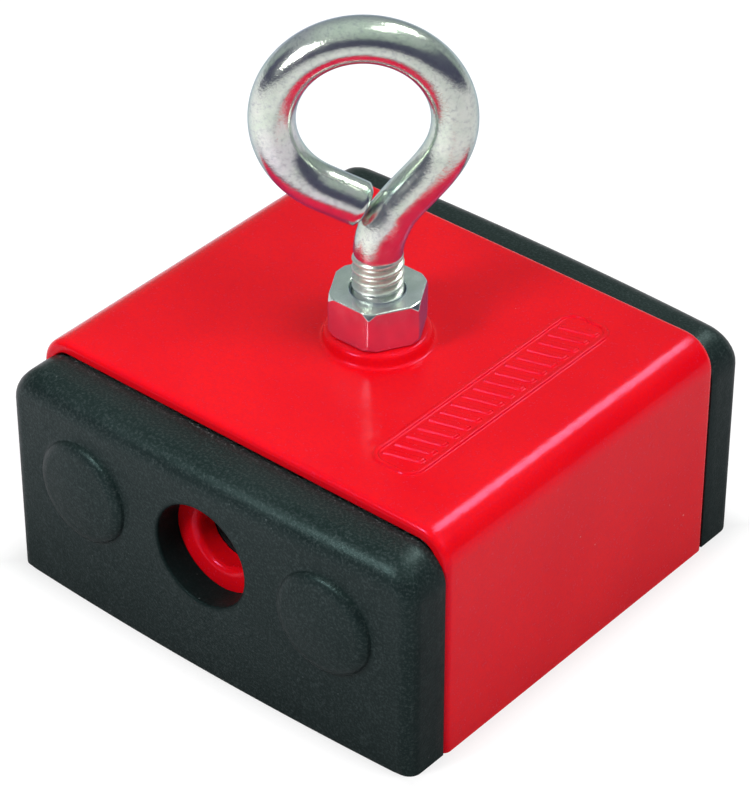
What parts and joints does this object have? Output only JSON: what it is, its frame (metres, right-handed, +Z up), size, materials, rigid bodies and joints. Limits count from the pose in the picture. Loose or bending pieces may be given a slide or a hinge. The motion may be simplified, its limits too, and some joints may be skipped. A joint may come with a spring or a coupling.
{
  "type": "holding and retrieving magnet",
  "caption": "Block-shaped holding magnet with a steel working face underneath, a bent sheet cover, rubber end caps and a threaded lifting eye locked by a jam nut.",
  "frame": {"origin": "centre of the working face, on the surface the magnet stands on", "axes": "+Z up along the eyebolt, away from the working face; +X across the end caps; +Y through the magnet stack, from the front cap to the rear cap"},
  "size_m": [0.0636, 0.067, 0.0759],
  "materials": {
    "red_paint": "glossy red powder coat",
    "black_rubber": "matte moulded rubber with fine dust",
    "zinc_plate": "bright zinc-plated steel",
    "ground_steel": "ground steel pole face",
    "ferrite": "matte dark ceramic ferrite",
    "black_plastic": "moulded black plastic"
  },
  "bodies": {
    "block": {"cover": "red_paint", "front_end_cap": "black_rubber", "rear_end_cap": "black_rubber", "front_pole_plate": "red_paint", "rear_pole_plate": "red_paint", "centre_pole_bar": "ground_steel", "front_left_inner_magnet": "ferrite", "front_left_outer_magnet": "ferrite", "front_right_inner_magnet": "ferrite", "front_right_outer_magnet": "ferrite", "rear_left_inner_magnet": "ferrite", "rear_left_outer_magnet": "ferrite", "rear_right_inner_magnet": "ferrite", "rear_right_outer_magnet": "ferrite", "front_magnet_spacer": "black_plastic", "rear_magnet_spacer": "black_plastic", "left_tie_bolt": "zinc_plate", "right_tie_bolt": "zinc_plate", "left_tie_nut": "zinc_plate", "right_tie_nut": "zinc_plate"},
    "eyebolt": {"eyebolt": "zinc_plate"},
    "jam_nut": {"jam_nut": "zinc_plate"}
  },
  "joints": [
    {"name": "eyebolt_turn", "type": "hinge", "parent": "block", "child": "eyebolt", "pos_m": [0, 0, 0.0334], "axis": [0, 0, 1], "range_deg": [-180, 180]},
    {"name": "jam_nut_slide", "type": "slide", "parent": "eyebolt", "child": "jam_nut", "axis": [0, 0, 1], "range_m": [0, 0.005]}
  ]
}
